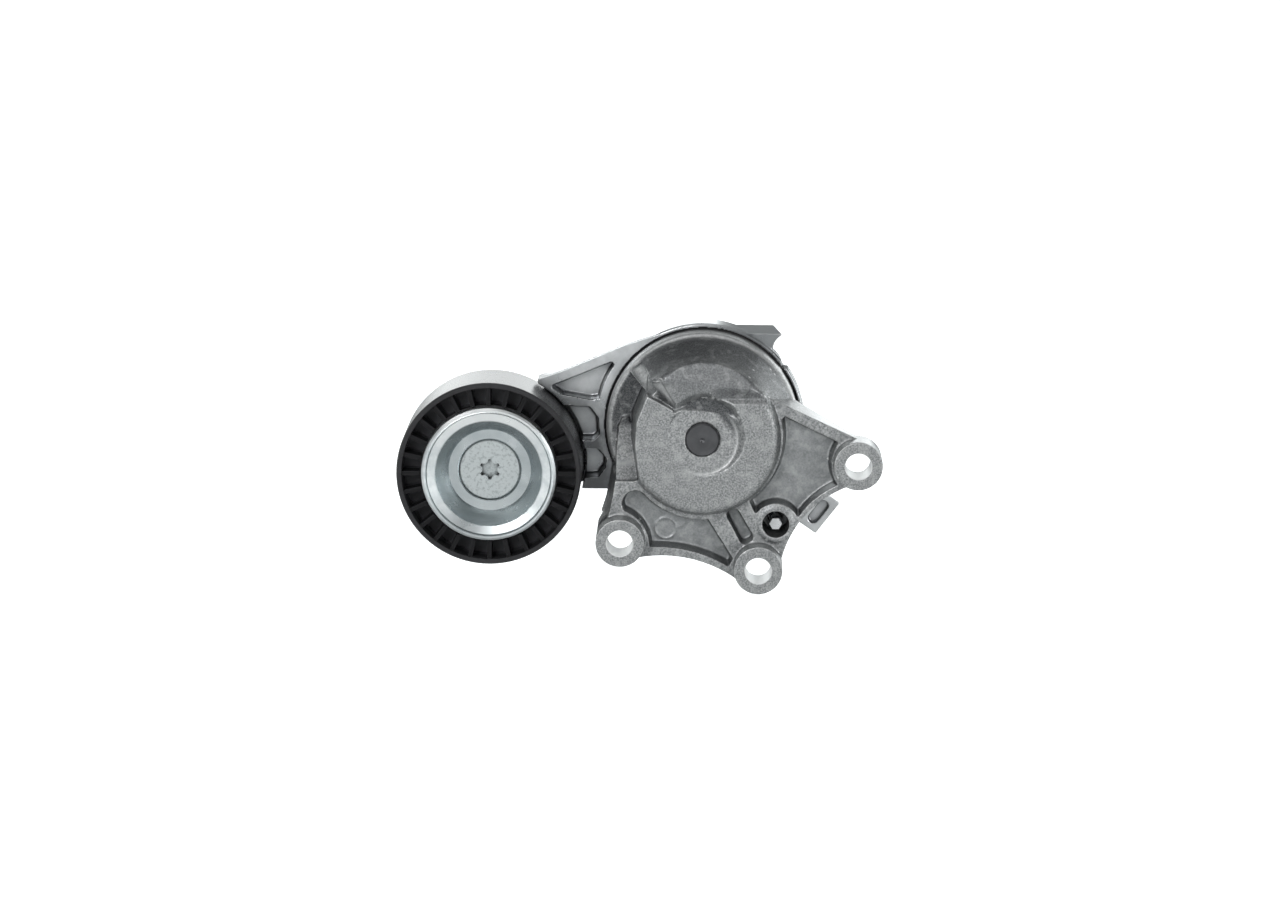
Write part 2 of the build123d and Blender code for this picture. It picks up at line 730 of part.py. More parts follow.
ball_spots = [polar(ball_circle_r, 360 * i / ball_count) for i in range(ball_count)]
ball_spots = [(pulley_x + x, y_mid, pulley_z + z) for x, z in ball_spots]
with BuildPart() as bearing_balls:
    with Locations(*ball_spots):
        Sphere(ball_r)
bearing_balls.part.label = "bearing_balls"
export_step(bearing_balls.part, "parts/bearing_balls.step")

with BuildPart() as bearing_cage:
    turned([
        (13.3, y_mid - 4.2),
        (15.4, y_mid - 4.2),
        (15.4, y_mid + 2.6),
        (13.3, y_mid + 2.6),
    ], pulley_x, pulley_z)
    for x, y, z in ball_spots:
        with BuildSketch(Plane(origin=(x, y, z), x_dir=(0, 1, 0), z_dir=(x - pulley_x, 0, z - pulley_z))):
            Circle(ball_r + 0.12)
        extrude(amount=3.0, both=True, mode=Mode.SUBTRACT)
bearing_cage.part.label = "bearing_cage"
export_step(bearing_cage.part, "parts/bearing_cage.step")

with BuildPart() as bearing_seal_front:
    turned([
        (inner_land_r + 0.25, y_bearing + 0.3),
        (outer_land_r, y_bearing + 0.3),
        (outer_land_r, y_bearing + 1.2),
        (inner_land_r + 0.25, y_bearing + 1.2),
    ], pulley_x, pulley_z)
bearing_seal_front.part.label = "bearing_seal_front"
export_step(bearing_seal_front.part, "parts/bearing_seal_front.step")

with BuildPart() as bearing_seal_rear:
    turned([
        (inner_land_r + 0.25, y_bearing_end - 1.2),
        (outer_land_r, y_bearing_end - 1.2),
        (outer_land_r, y_bearing_end - 0.3),
        (inner_land_r + 0.25, y_bearing_end - 0.3),
    ], pulley_x, pulley_z)
bearing_seal_rear.part.label = "bearing_seal_rear"
export_step(bearing_seal_rear.part, "parts/bearing_seal_rear.step")

# ================================================================ pulley fixings
y_bolt_seat = y_bearing - cap_t
well_r = 11.0
with BuildPart() as dust_cap:
    turned([
        (bolt_r + 0.1, y_bolt_seat),
        (well_r, y_bolt_seat),
        (well_r, y_cap_ring + 0.3),
        (well_r + 0.3, y_cap_ring),
        (14.5, y_cap_ring),
        (18.1, y_cap_ring - 5.7),
        (18.8, y_cap_ring - 6.8),
        (21.6, y_cap_ring - 7.6),
        (21.9, y_cap_ring - 7.2),
        (22.3, y_cap_ring - 7.8),
        (22.9, y_cap_ring - 7.9),
        (23.6, y_cap_ring - 7.4),
        (23.9, y_cap_ring - 6.6),
        (23.9, y_cap_ring - 4.9),
        (23.0, y_cap_ring - 4.9),
        (22.9, y_cap_ring - 6.2),
        (21.6, y_cap_ring - 6.5),
        (19.3, y_cap_ring - 5.8),
        (15.1, y_cap_ring + cap_t),
        (well_r + cap_t, y_cap_ring + cap_t),
        (well_r + cap_t, y_bearing),
        (bolt_r + 0.1, y_bearing),
    ], pulley_x, pulley_z)
dust_cap.part.label = "dust_cap"
export_step(dust_cap.part, "parts/dust_cap.step")

y_head = y_cap_ring + 0.7
head_r = 10.85
lobe_tip_r = 3.7
lobe_gap_at = 4.2
lobe_gap_r = 1.55
socket_depth = 2.6
y_bolt_tip = 54.0
with BuildPart() as pulley_bolt:
    turned([
        (0, y_head),
        (head_r - 0.5, y_head),
        (head_r, y_head + 0.5),
        (head_r, y_bolt_seat),
        (bolt_r - 0.02, y_bolt_seat),
        (bolt_r - 0.02, y_bolt_tip - 1.0),
        (bolt_r - 0.8, y_bolt_tip),
        (0, y_bolt_tip),
    ], pulley_x, pulley_z)
    # six-lobe socket
    with BuildSketch(at(y_head)):
        with Locations(pulley_at):
            Circle(lobe_tip_r)
            with PolarLocations(lobe_gap_at, 6):
                Circle(lobe_gap_r, mode=Mode.SUBTRACT)
    extrude(amount=-socket_depth, mode=Mode.SUBTRACT)
pulley_bolt.part.label = "pulley_bolt"
export_step(pulley_bolt.part, "parts/pulley_bolt.step")

y_post = y_plate - 1
with BuildPart() as clamp_spacer:
    turned([
        (bolt_r + 0.1, y_bearing + 0.02),
        (bearing_bore_r, y_bearing + 0.02),
        (bearing_bore_r, y_bearing_end + 0.8),
        (inner_land_r - 0.7, y_bearing_end + 0.8),
        (inner_land_r - 0.7, y_post),
        (bolt_r + 0.1, y_post),
    ], pulley_x, pulley_z)
clamp_spacer.part.label = "clamp_spacer"
export_step(clamp_spacer.part, "parts/clamp_spacer.step")

with BuildPart() as rear_dust_shield:
    turned([
        (bearing_bore_r, y_bearing_end),
        (inner_land_r - 0.2, y_bearing_end),
        (14.0, y_bearing_end + 1.0),
        (19.3, y_bearing_end + 1.0),
        (19.3, y_bearing_end + 1.8),
        (13.6, y_bearing_end + 1.8),
        (inner_land_r - 0.6, y_bearing_end + 0.8),
        (bearing_bore_r, y_bearing_end + 0.8),
    ], pulley_x, pulley_z)
rear_dust_shield.part.label = "rear_dust_shield"
export_step(rear_dust_shield.part, "parts/rear_dust_shield.step")

# ================================================================ locking pin
pin_flats = 3.8
y_pin_tip = 8.0
y_bend = 50.0
leg = 16.0
leg_dir = (-lock_pos[1] / pin_r, lock_pos[0] / pin_r)
with BuildPart() as locking_pin:
    with BuildSketch(at(y_pin_tip)):
        with Locations(lock_pos):
            RegularPolygon(pin_flats / 2, 6, major_radius=False)
    extrude(amount=-(y_bend - y_pin_tip))
    with Locations((lock_pos[0], y_bend, lock_pos[1])):
        Sphere(pin_flats / 2 + 0.25)
    with BuildSketch(Plane(
        origin=(lock_pos[0], y_bend, lock_pos[1]),
        x_dir=(0, 1, 0),
        z_dir=(leg_dir[0], 0, leg_dir[1]),
    )):
        Circle(pin_flats / 2)
    extrude(amount=leg)
locking_pin.part.label = "locking_pin"
export_step(locking_pin.part, "parts/locking_pin.step")
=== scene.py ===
import json
import math

import bpy
from mathutils import Matrix, Vector

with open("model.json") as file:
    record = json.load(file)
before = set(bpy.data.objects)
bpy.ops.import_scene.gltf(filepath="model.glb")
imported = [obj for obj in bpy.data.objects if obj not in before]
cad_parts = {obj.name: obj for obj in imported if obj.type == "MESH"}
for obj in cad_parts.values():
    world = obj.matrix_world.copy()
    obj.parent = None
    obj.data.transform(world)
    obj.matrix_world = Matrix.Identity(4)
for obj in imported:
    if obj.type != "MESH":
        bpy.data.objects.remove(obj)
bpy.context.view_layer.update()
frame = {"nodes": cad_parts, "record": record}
nodes = frame["nodes"]

# Everything below is in metres, in the part's own frame: +X to the right ear, +Y away from
# the engine along the pivot, +Z up, origin on the pivot axis in the mounting plane.
PIVOT_X, PIVOT_Z = 0.0, 0.0
WHEEL_X, WHEEL_Z = -0.0750, -0.0146

# ------------------------------------------------------------------ node helpers


class Mat:
    """A small wrapper that builds a procedural material one node at a time."""

    def __init__(self, name):
        self.mat = bpy.data.materials.new(name)
        self.mat.use_nodes = True
        self.tree = self.mat.node_tree
        self.tree.nodes.clear()
        output = self.new("ShaderNodeOutputMaterial")
        self.bsdf = self.new("ShaderNodeBsdfPrincipled")
        self.link(self.bsdf.outputs[0], output.inputs["Surface"])
        place = self.new("ShaderNodeTexCoord")
        self.coord = place.outputs["Object"]
        self.facing = place.outputs["Normal"]
        self.bumped = None

    def new(self, kind, **props):
        node = self.tree.nodes.new(kind)
        for key, value in props.items():
            setattr(node, key, value)
        return node

    def link(self, a, b):
        self.tree.links.new(a, b)

    def put(self, socket, value):
        """Links a node's output to a socket, or sets the socket to a plain value."""
        if hasattr(value, "is_output"):
            self.link(value, socket)
        elif isinstance(value, (tuple, list)) and len(value) == 3 and socket.type == "RGBA":
            socket.default_value = (*value, 1.0)
        else:
            socket.default_value = value

    # textures

    def noise(self, scale, detail=3.0, rough=0.6, distortion=0.0):
        n = self.new("ShaderNodeTexNoise")
        self.put(n.inputs["Vector"], self.coord)
        n.inputs["Scale"].default_value = scale
        n.inputs["Detail"].default_value = detail
        n.inputs["Roughness"].default_value = rough
        n.inputs["Distortion"].default_value = distortion
        return n.outputs["Fac"]

    def rings(self, x, z, scale, detail=2.0):
        """Fine concentric turning lines: noise that varies with radius only."""
        n = self.new("ShaderNodeTexNoise", noise_dimensions="1D")
        self.put(n.inputs["W"], self.radial(x, z))
        n.inputs["Scale"].default_value = scale
        n.inputs["Detail"].default_value = detail
        return n.outputs["Fac"]

    # arithmetic

    def math(self, op, a, b=0.0):
        n = self.new("ShaderNodeMath", operation=op)
        self.put(n.inputs[0], a)
        self.put(n.inputs[1], b)
        return n.outputs[0]

    def times(self, *values):
        total = values[0]
        for value in values[1:]:
            total = self.math("MULTIPLY", total, value)
        return total

    def highest(self, *values):
        total = values[0]
        for value in values[1:]:
            total = self.math("MAXIMUM", total, value)
        return total

    def remap(self, value, a, b, c, d):
        """Runs from c to d as the value runs from a to b, and stays level outside."""
        n = self.new("ShaderNodeMapRange")
        self.put(n.inputs["Value"], value)
        for key, v in zip(("From Min", "From Max", "To Min", "To Max"), (a, b, c, d)):
            n.inputs[key].default_value = v
        return n.outputs["Result"]

    def rise(self, value, lo, hi, top=1.0):
        return self.remap(value, lo, hi, 0.0, top)

    def fall(self, value, lo, hi, painted_lower_shading=0.0):
        return self.remap(value, lo, hi, 1.0, painted_lower_shading)

    def band(self, value, lo, hi, soft):
        """1 between lo and hi, falling to 0 over a soft width at each end."""
        up = self.rise(value, lo - soft, lo + soft)
        down = self.fall(value, hi - soft, hi + soft)
        return self.math("MULTIPLY", up, down)

    def vary(self, noise, low, high, half=0.2):
        """Noise stretched about its middle, to run from low to high."""
        return self.remap(noise, 0.5 - half, 0.5 + half, low, high)

    # places on the surface

    def axis(self, index, source=None):
        """One coordinate of the surface point, or of another vector."""
        sep = self.new("ShaderNodeSeparateXYZ")
        self.link(self.coord if source is None else source, sep.inputs[0])
        return sep.outputs[index]

    def radial(self, x, z):
        """Distance from a line along Y through (x, z)."""
        sep = self.new("ShaderNodeSeparateXYZ")
        self.link(self.coord, sep.inputs[0])
        dx = self.math("SUBTRACT", sep.outputs[0], x)
        dz = self.math("SUBTRACT", sep.outputs[2], z)
        square = self.math("ADD", self.math("MULTIPLY", dx, dx), self.math("MULTIPLY", dz, dz))
        return self.math("SQRT", square)

    def facing_y(self):
        """1 where the surface faces along the pivot, 0 on a wall parallel to it."""
        return self.math("ABSOLUTE", self.axis(1, self.facing))

    def edge(self, lo, hi):
        """1 on convex edges of a dense mesh, 0 on flats."""
        geo = self.new("ShaderNodeNewGeometry")
        return self.rise(geo.outputs["Pointiness"], lo, hi)

    def recess(self, distance, lo=0.3, hi=0.95):
        """1 out in the open, 0 deep in a recess."""
        n = self.new("ShaderNodeAmbientOcclusion", samples=8)
        n.inputs["Distance"].default_value = distance
        return self.rise(n.outputs["AO"], lo, hi)

    # colour and relief

    def ramp(self, value, lo, hi):
        """Black below lo, white above hi."""
        n = self.new("ShaderNodeValToRGB")
        self.put(n.inputs["Fac"], value)
        for stop, place, grey in zip(n.color_ramp.elements, (lo, hi), (0.0, 1.0)):
            stop.position = place
            stop.color = (grey, grey, grey, 1.0)
        return n.outputs["Color"]

    def mix(self, fac, a, b):
        n = self.new("ShaderNodeMix", data_type="RGBA", blend_type="MIX")
        self.put(n.inputs[0], fac)
        self.put(n.inputs[6], a)
        self.put(n.inputs[7], b)
        return n.outputs[2]

    def tint(self, color, mask, amount, other):
        """Another colour laid over the first where the mask is 1, at the given amount."""
        return self.mix(self.math("MULTIPLY", mask, amount), color, other)

    def bump(self, height, strength, distance):
        """Adds relief on top of the relief already there."""
        n = self.new("ShaderNodeBump")
        n.inputs["Strength"].default_value = strength
        n.inputs["Distance"].default_value = distance
        self.put(n.inputs["Height"], height)
        if self.bumped is not None:
            self.link(self.bumped, n.inputs["Normal"])
        self.bumped = n.outputs["Normal"]

    def done(self, color, metallic, rough, **extra):
        self.put(self.bsdf.inputs["Base Color"], color)
        self.put(self.bsdf.inputs["Metallic"], metallic)
        self.put(self.bsdf.inputs["Roughness"], rough)
        for key, value in extra.items():
            self.put(self.bsdf.inputs[key.replace("_", " ")], value)
        if self.bumped is not None:
            self.link(self.bumped, self.bsdf.inputs["Normal"])
        return self.mat


# ------------------------------------------------------------------ the base casting


def base_painted_shade(m, x, y, z, r, facing):
    """Painted shade: 1 in the recesses and on the walls where shade falls, which are painted dark.
    """
    rim_inner = (0.0318, 0.0326)
    cone_depth = (0.0030, 0.0120)
    floor_depth = (0.0205, 0.0225)
    crescent_depth = (0.0053, 0.0062)
    upper_half = m.rise(z, -0.008, 0.0)
    inside = m.times(m.fall(r, *rim_inner), upper_half)
    ragged = m.math("ADD", y, m.vary(m.noise(200, 5.0, 0.7), -0.004, 0.004))
    beside_strut = m.remap(x, -0.021, -0.018, 0.75, 1.0)
    cone = m.times(m.rise(ragged, *cone_depth), m.fall(facing, 0.5, 0.85), beside_strut)
    drum_floor = m.rise(y, *floor_depth)
    crescent = m.times(m.band(y, *crescent_depth, 0.0001), m.fall(r, 0.0145, 0.0148))
    valley = m.times(m.band(z, 0.0142, 0.0182, 0.0018), m.band(x, 0.006, 0.0190, 0.005),
                     m.remap(y, 0.0055, 0.0065, 0.65, 0.0), m.rise(r, 0.0140, 0.0165))
    return m.highest(m.times(inside, m.highest(cone, drum_floor)), crescent, valley)


def base_wear_and_highlight(m, x, y, z, r, facing):
    """1 where it is painted bright, partly wear and partly painted highlight: the drum's rim, the
    rib's crest, the notch, the recess.
    """
    rim_radius = (0.0328, 0.0346)
    rim_depth = (0.0232, 0.0300)
    recess_radius = (0.0116, 0.0126)
    rim = m.times(m.band(r, *rim_radius, 0.0004), m.band(y, *rim_depth, 0.0006),
                  m.rise(z, -0.008, 0.0))
    # along the rib away from the pivot, and across it
    along = m.math("SUBTRACT", m.math("MULTIPLY", z, 0.656), m.math("MULTIPLY", x, 0.755))
    across = m.math("ADD", m.math("MULTIPLY", x, 0.656), m.math("MULTIPLY", z, 0.755))
    crest = m.times(m.band(across, 0.0002, 0.0030, 0.0012), m.band(along, 0.0258, 0.0332, 0.0022),
                    m.rise(facing, 0.40, 0.48), m.rise(y, 0.0050, 0.0070))
    # painted highlight on the right flank of the V notch, between its middle line and its right
    # line
    past_tip = m.math("SUBTRACT", along, 0.0134)
    middle_line = m.math("SUBTRACT", across, m.math("MULTIPLY", past_tip, 0.04))
    right_line = m.math("SUBTRACT", across, m.math("MULTIPLY", past_tip, 0.3675))
    notch = m.times(m.band(along, 0.0145, 0.0250, 0.0012), m.rise(y, 0.0031, 0.0037))
    flank = m.times(notch, m.rise(middle_line, 0.0022, 0.0034), m.fall(right_line, 0.0018, 0.0026))
    # painted highlight on the recess ring's lower right side
    lower_right = m.math("SUBTRACT", m.math("MULTIPLY", x, 0.8), m.math("MULTIPLY", z, 0.6))
    ring = m.times(m.band(r, *recess_radius, 0.0005), m.rise(lower_right, 0.0, 0.006, 0.6))
    return m.highest(m.highest(rim, flank), m.highest(crest, ring))


def base_wall_shade(m, x, y, z, r, facing):
    """Painted shade: 1 on the walls of the pockets and of the left ear, which are painted dark."""
    below_drum = (-0.012, -0.008)
    right_end = m.rise(x, 0.030, 0.050, 0.012)
    pocket_wall_shade = m.times(m.band(y, 0.0076, 0.0120, 0.0004), m.fall(facing, 0.5, 0.85),
                          m.rise(r, 0.0262, 0.0270),
                          m.fall(m.math("SUBTRACT", z, right_end), *below_drum))
    ear_wall_shade = m.times(m.rise(y, 0.0080, 0.0105), m.fall(facing, 0.4, 0.7),
                       m.fall(x, -0.029, -0.027), m.fall(z, *below_drum))
    return m.highest(pocket_wall_shade, ear_wall_shade)


def base_bores(m):
    """1 on the walls of the screw holes, which are drilled and bright."""
    wall = (0.0046, 0.0049)
    bores = None
    for mount in frame["record"]["mounts"]:
        if mount["name"].startswith("screw_hole"):
            hole_x, _, hole_z = mount["pos_m"]
            bore = m.fall(m.radial(hole_x, hole_z), *wall)
            bores = bore if bores is None else m.highest(bores, bore)
    return bores


def cast_base():
    """Tumbled die-cast aluminium, with painted shade in its recesses and on shaded walls, and pale
    edges that are partly wear and partly painted highlight.
    """
    m = Mat("cast_base")
    speck = m.noise(1650)
    middle = m.noise(650, 4.0, 0.65)
    grain = m.ramp(m.noise(2600), 0.35, 0.7)
    blotch = m.noise(60, 4.0)
    streak = m.noise(240, 5.0, 0.65, distortion=0.8)
    cloud = m.noise(260, distortion=0.4)
    x, y, z = (m.axis(i) for i in range(3))
    r = m.radial(PIVOT_X, PIVOT_Z)
    facing = m.facing_y()
    painted_shade = base_painted_shade(m, x, y, z, r, facing)
    wear_and_highlight = base_wear_and_highlight(m, x, y, z, r, facing)
    painted_wall_shade = base_wall_shade(m, x, y, z, r, facing)
    bores = base_bores(m)
    pocket_floor = m.times(m.band(y, 0.0117, 0.0132, 0.0002), m.rise(r, 0.026, 0.027))
    # painted shade: the cone is darker to the left, and the plateau's upper part darker than its
    # lower
    dusk = m.times(m.rise(x, -0.012, 0.024), m.rise(y, 0.0060, 0.0090))
    shade = m.times(m.rise(z, 0.008, 0.021, 0.62), m.fall(r, 0.0330, 0.0335))
    # painted reflection: faces that look up are painted paler, as if catching the pale backdrop
    upward = m.rise(m.axis(2, m.facing), 0.72, 0.88)
    painted_backdrop_light = m.times(upward, m.math("SUBTRACT", 1.0, painted_shade), m.remap(x, 0.030, 0.042, 0.3, 1.0))
    grey = (0.21, 0.218, 0.222)
    wear_and_highlight_grey = (0.66, 0.67, 0.67)
    # painted shade colours over the casting's own grain, darker to the left than to the right
    painted_shade_left = m.mix(grain, (0.020, 0.022, 0.025), (0.14, 0.145, 0.15))
    painted_shade_right = m.mix(grain, (0.07, 0.075, 0.08), (0.32, 0.33, 0.335))
    painted_shade_tone = m.mix(dusk, painted_shade_left, painted_shade_right)
    smooth = m.mix(m.vary(streak, 0.0, 1.0), (0.21, 0.22, 0.225), (0.34, 0.352, 0.358))
    tumbled = m.mix(m.ramp(speck, 0.39, 0.65), (0.165, 0.172, 0.177), (0.55, 0.56, 0.562))
    tumbled = m.mix(m.vary(middle, 0.0, 0.45, 0.15), tumbled, grey)
    # painted shade: occluded hollows are darkened toward the shade colour
    color = m.mix(m.recess(0.005), painted_shade_left, tumbled)
    color = m.mix(m.vary(blotch, 0.0, 0.4), color, (0.24, 0.248, 0.252))
    color = m.mix(m.rise(cloud, 0.42, 0.62, 0.22), color, (0.40, 0.41, 0.412))
    color = m.mix(shade, color, (0.11, 0.115, 0.12))
    color = m.tint(color, pocket_floor, 0.8, smooth)
    # painted shade on the pocket walls and the left ear's wall
    color = m.tint(color, painted_wall_shade, 0.85, painted_shade_left)
    # painted shade: the recesses and shaded walls take the dark shade colour
    color = m.tint(color, painted_shade, 0.9, painted_shade_tone)
    # convex edges painted pale, partly wear and partly painted highlight
    patchy_edge = m.math("ADD", m.edge(0.517, 0.57), m.vary(cloud, -0.3, 0.2, 0.15))
    color = m.mix(m.rise(patchy_edge, 0.0, 0.9, 0.8), color, (0.66, 0.67, 0.665))
    # worn bright places with painted highlights, laid on in pale grey
    color = m.tint(color, wear_and_highlight, m.remap(middle, 0.3, 0.6, 0.35, 0.85), wear_and_highlight_grey)
    color = m.tint(color, painted_backdrop_light, 0.7, (0.52, 0.53, 0.535))
    color = m.mix(bores, color, (0.78, 0.79, 0.79))
    rough = m.mix(painted_backdrop_light, m.vary(speck, 0.60, 0.42), m.vary(speck, 0.42, 0.30))
    rough = m.mix(bores, rough, m.vary(speck, 0.55, 0.42))
    m.bump(speck, 0.35, 0.00010)
    m.bump(middle, 0.25, 0.00015)
    m.bump(blotch, 0.2, 0.0004)
    return m.done(color, m.remap(bores, 0.0, 1.0, 0.85, 0.35), rough)


# ------------------------------------------------------------------ the other materials


def cast_arm():
    """Smooth die-cast aluminium, with painted shade next to the wheel."""
    m = Mat("cast_arm")
    front_face = (0.0322, 0.0330)
    blotch = m.noise(90, 5.0)
    fine = m.noise(2500, 2.0, 0.5)
    x, y, z = (m.axis(i) for i in range(3))
    tang = m.times(m.rise(x, 0.004, 0.012), m.rise(z, 0.010, 0.024))
    tang_top = m.math("MULTIPLY", tang, m.rise(m.axis(2, m.facing), 0.6, 0.85))
    ragged = m.vary(m.noise(110, 4.0), -0.003, 0.003)
    from_wheel = m.math("ADD", m.radial(WHEEL_X, WHEEL_Z), ragged)
    face = m.times(m.fall(y, *front_face), m.fall(z, 0.004, 0.016))
    # painted shade: the arm's face and walls next to the wheel are darkened
    beside_wheel = m.times(m.fall(from_wheel, 0.0400, 0.0500), m.remap(face, 0.0, 1.0, 0.25, 1.0))
    walls = m.times(m.rise(y, *front_face), m.fall(m.facing_y(), 0.4, 0.8))
    painted_wheel_shade = m.highest(beside_wheel, m.times(walls, m.fall(from_wheel, 0.036, 0.040)))
    # painted shade on the notch floors near the wheel
    notch_floor_shade = m.times(m.rise(y, 0.0330, 0.0340), m.fall(from_wheel, 0.0500, 0.0560),
                          m.fall(z, 0.0050, 0.0090), m.remap(blotch, 0.3, 0.6, 0.85, 0.45))
    color = m.mix(m.ramp(blotch, 0.35, 0.65), (0.44, 0.455, 0.465), (0.66, 0.675, 0.685))
    color = m.tint(color, tang, 0.75, (0.17, 0.18, 0.187))
    color = m.mix(tang_top, color, (0.20, 0.212, 0.218))
    color = m.tint(color, painted_wheel_shade, 0.9, (0.05, 0.053, 0.056))
    color = m.mix(notch_floor_shade, color, (0.24, 0.25, 0.258))
    # painted shade: occluded hollows are darkened
    color = m.mix(m.recess(0.004), (0.16, 0.165, 0.175), color)
    # convex edges painted pale, partly wear and partly painted highlight
    color = m.tint(color, m.edge(0.52, 0.58), 0.65, (0.80, 0.81, 0.82))
    rough = m.mix(tang_top, m.vary(blotch, 0.24, 0.38), m.vary(fine, 0.8, 0.95))
    m.bump(blotch, 0.15, 0.0002)
    m.bump(fine, 0.3, 0.00004)
    return m.done(color, m.remap(tang_top, 0.0, 1.0, 0.95, 0.2), rough)


def polymer(name, x, z, color=(0.010, 0.010, 0.011)):
    """Moulded polymer; the wheel made of it is worn grey on its running surface, with painted light
    on its cell floors and painted shade on its web fronts.
    """
    m = Mat(name)
    rim_radius = (0.0321, 0.0324)
    fine = m.noise(2600)
    depth = m.axis(1)
    r = m.radial(x, z)

    def shade(factor):
        return tuple(c * factor for c in color)

    tone = m.mix(m.vary(m.noise(120), 0.0, 1.0, 0.15), color, shade(1.7))
    # painted light on the deep cell floors
    painted_floor_light = m.band(depth, 0.0200, 0.0330, 0.0008)
    tone = m.tint(tone, painted_floor_light, 0.8, shade(9))
    # painted shade on the fronts of the webs
    painted_web_shade = m.times(m.fall(depth, 0.0196, 0.0206), m.band(r, 0.0244, 0.0305, 0.0001))
    tone = m.tint(tone, painted_web_shade, 0.6, shade(0.3))
    tone = m.tint(tone, m.edge(0.52, 0.62), 0.35, shade(5))
    worn = m.rise(r, *rim_radius)
    tone = m.tint(tone, worn, 0.6, (0.05, 0.05, 0.052))
    rough = m.mix(worn, m.vary(fine, 0.42, 0.58), m.vary(fine, 0.24, 0.32))
    gloss = m.math("SUBTRACT", m.remap(worn, 0.0, 1.0, 0.32, 0.6),
                   m.math("MULTIPLY", painted_web_shade, 0.17))
    m.bump(fine, 0.12, 0.00004)
    m.bump(m.rings(x, z, 4000), 0.15, 0.00003)
    return m.done(tone, 0.0, rough, Specular_IOR_Level=gloss)


def zinc_bright(name, x, z):
    """Bright zinc plate on the pressed cap: a pale rolled lip round a darker dish, with a painted
    highlight on top of the lip, painted shade on the dish's top and low on the lip, and painted
    light low on the dish.
    """
    m = Mat(name)
    lip_radius = (0.0186, 0.0192)
    seam_radius = (0.02180, 0.02200)
    height = m.axis(2)
    r = m.radial(x, z)
    wide = m.noise(140, 4.0)
    lip = m.rise(r, *lip_radius)
    # painted shade low on the lip and painted light low on the dish
    painted_lower_shading = m.remap(height, z - 0.020, z - 0.006, 0.7, 0.0)
    # painted highlight on the top of the lip
    painted_top_highlight = m.rise(height, z + 0.008, z + 0.018, 0.8)
    lip_color = m.mix(m.vary(m.noise(320), 0.0, 1.0, 0.15), (0.68, 0.73, 0.745), (0.84, 0.88, 0.89))
    lip_color = m.mix(painted_top_highlight, lip_color, (0.98, 1.0, 1.0))
    lip_color = m.mix(painted_lower_shading, lip_color, (0.40, 0.43, 0.44))
    color = m.mix(m.vary(wide, 0.0, 1.0), (0.40, 0.445, 0.46), (0.56, 0.60, 0.615))
    color = m.tint(color, painted_lower_shading, 0.8, (0.74, 0.79, 0.80))
    color = m.mix(lip, color, lip_color)
    color = m.tint(color, m.band(r, *seam_radius, 0.00012), 0.75, (0.10, 0.11, 0.115))
    # painted shade on the upper part of the dish
    painted_dish_shade = m.times(m.math("SUBTRACT", 1.0, lip), m.rise(r, 0.0146, 0.0152),
                       m.rise(height, z - 0.004, z + 0.014, 0.55))
    color = m.mix(painted_dish_shade, color, (0.10, 0.115, 0.12))
    m.bump(m.rings(x, z, 3500, 3.0), 0.12, 0.00003)
    m.bump(m.noise(700), 0.08, 0.00006)
    return m.done(color, 1.0, m.mix(lip, m.vary(wide, 0.20, 0.30), m.vary(wide, 0.26, 0.38)))


def zinc_flake():
    """Matt zinc-flake coating of the wheel bolt, with dark pores, painted shade in the socket and a
    painted shadow on the head's upper rim.
    """
    m = Mat("zinc_flake")
    socket_radius = (0.0040, 0.0046)
    head_rim = (0.0098, 0.0107)
    speck = m.noise(900, 4.0, 0.7)
    r = m.radial(WHEEL_X, WHEEL_Z)
    color = m.mix(m.ramp(speck, 0.36, 0.50), (0.30, 0.33, 0.337), (0.50, 0.54, 0.547))
    color = m.mix(m.vary(m.noise(160), 0.0, 0.3), color, (0.56, 0.59, 0.595))
    # painted shade deep in the socket
    painted_socket_shade = m.math("SUBTRACT", 1.0, m.recess(0.0020, 0.25, 0.8))
    color = m.tint(color, m.fall(r, *socket_radius), painted_socket_shade, (0.05, 0.053, 0.055))
    # painted shadow on the upper part of the head's rim
    painted_rim_shadow = m.times(m.rise(r, *head_rim, 0.5),
                        m.rise(m.axis(2), WHEEL_Z - 0.004, WHEEL_Z + 0.008))
    color = m.mix(painted_rim_shadow, color, (0.10, 0.105, 0.107))
    m.bump(speck, 0.3, 0.00006)
    return m.done(color, 0.75, m.vary(speck, 0.5, 0.36))


def steel(name, color, rough, x, z):
    """Turned steel, lighter on its edges."""
    m = Mat(name)
    wide = m.noise(250)

    def lighter(factor):
        return tuple(min(1.0, c * factor) for c in color)

    tone = m.mix(m.vary(wide, 0.0, 1.0), color, lighter(1.35))
    tone = m.tint(tone, m.edge(0.52, 0.62), 0.4, lighter(2.2))
    m.bump(m.rings(x, z, 5000), 0.2, 0.00003)
    m.bump(m.noise(2500, 2.0, 0.5), 0.15, 0.00003)
    return m.done(tone, 1.0, m.vary(wide, rough * 0.85, rough * 1.2))


def rubber():
    m = Mat("rubber")
    fine = m.noise(1800)
    m.bump(fine, 0.3, 0.00005)
    color = m.mix(fine, (0.012, 0.012, 0.012), (0.03, 0.03, 0.03))
    return m.done(color, 0.0, m.vary(fine, 0.6, 0.75))


